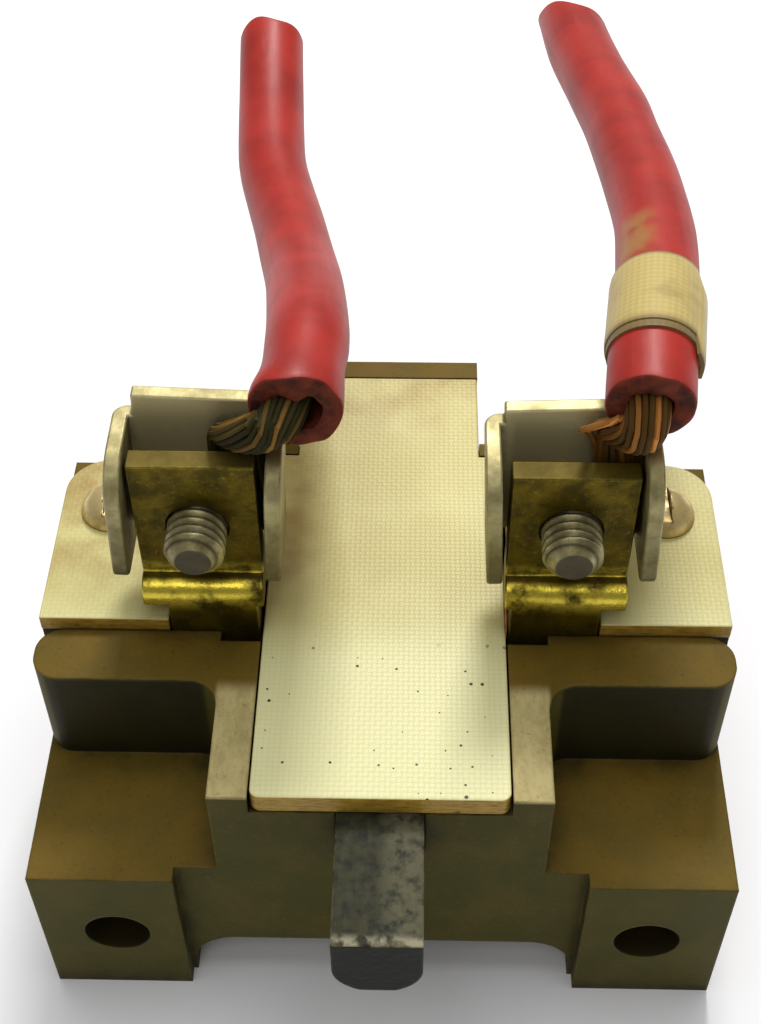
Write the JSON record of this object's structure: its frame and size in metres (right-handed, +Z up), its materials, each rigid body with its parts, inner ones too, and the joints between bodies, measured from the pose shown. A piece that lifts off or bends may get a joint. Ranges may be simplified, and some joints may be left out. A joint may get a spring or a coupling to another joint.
{
  "type": "knife blade switch block",
  "caption": "Moulded switch block with a spring-returned plunger that carries a knife blade into two jaws, each wired through a brass strip and a screwed saddle clamp.",
  "frame": {"origin": "midway between the two mounting holes, on the front faces of the feet", "axes": "+X across the block to the right clamp, +Y from the front to the back, +Z up towards the wire clamps"},
  "size_m": [0.057, 0.1032, 0.0557],
  "materials": {
    "brown_phenolic": "moulded phenolic, worn, warm brown with darker faces",
    "cream_laminate": "woven glass laminate, satin, amber cut edges",
    "board_screw_brass": "dull, tarnished",
    "black_plunger": "black, rubbed grey on top",
    "blade_copper": "rolled copper, satin",
    "jaw_bronze": "spring bronze, satin",
    "tarnished_brass": "tarnished olive brass, bright on its bends and edges",
    "plated_steel": "dull plated steel with dirt",
    "screw_steel": "zinc plated, dull",
    "spring_steel": "bare spring steel",
    "red_insulation": "red PVC, slightly glossy, scuffed",
    "strand_copper": "stranded copper, oxidised",
    "marker_cloth": "pale yellow cloth wrap, stained"
  },
  "bodies": {
    "base": {"housing": "brown_phenolic", "channel_cover": "cream_laminate", "left_terminal_board": "cream_laminate", "right_terminal_board": "cream_laminate", "left_board_screw": "board_screw_brass", "right_board_screw": "board_screw_brass", "left_contact_strip": "tarnished_brass", "right_contact_strip": "tarnished_brass", "left_blade_jaw": "jaw_bronze", "right_blade_jaw": "jaw_bronze", "left_jaw_rivet": "jaw_bronze", "right_jaw_rivet": "jaw_bronze", "left_jaw_spring": "spring_steel", "right_jaw_spring": "spring_steel", "return_spring": "spring_steel", "left_wire": "red_insulation", "right_wire": "red_insulation", "left_wire_strands": "strand_copper", "right_wire_strands": "strand_copper", "right_wire_marker": "marker_cloth"},
    "plunger": {"plunger": "black_plunger", "knife_blade": "blade_copper", "blade_pin": "spring_steel"},
    "left_clamp": {"left_wire_saddle": "plated_steel", "left_lock_washer": "screw_steel"},
    "right_clamp": {"right_wire_saddle": "plated_steel", "right_lock_washer": "screw_steel"},
    "left_screw": {"left_clamp_screw": "screw_steel"},
    "right_screw": {"right_clamp_screw": "screw_steel"}
  },
  "joints": [
    {"name": "plunger_slide", "type": "slide", "parent": "base", "child": "plunger", "axis": [0, 1, 0], "range_m": [0, 0.0048], "stiffness_N_per_m": 400, "springref_m": -0.008, "deforming": ["return_spring"]},
    {"name": "left_clamp_slide", "type": "slide", "parent": "base", "child": "left_clamp", "axis": [0, 1, 0], "range_m": [0, 0.002]},
    {"name": "left_screw_turn", "type": "hinge", "parent": "left_clamp", "child": "left_screw", "pos_m": [-0.0146, 0.0248, 0.0299], "axis": [0, 1, 0], "range_deg": [0, 907]},
    {"name": "right_clamp_slide", "type": "slide", "parent": "base", "child": "right_clamp", "axis": [0, 1, 0], "range_m": [0, 0.002]},
    {"name": "right_screw_turn", "type": "hinge", "parent": "right_clamp", "child": "right_screw", "pos_m": [0.0146, 0.0248, 0.0299], "axis": [0, 1, 0], "range_deg": [0, 907]}
  ],
  "couplings": [
    {"joint": "left_screw_turn", "follows": "left_clamp_slide", "rad_per_m": 7915.3},
    {"joint": "right_screw_turn", "follows": "right_clamp_slide", "rad_per_m": 7915.3}
  ]
}
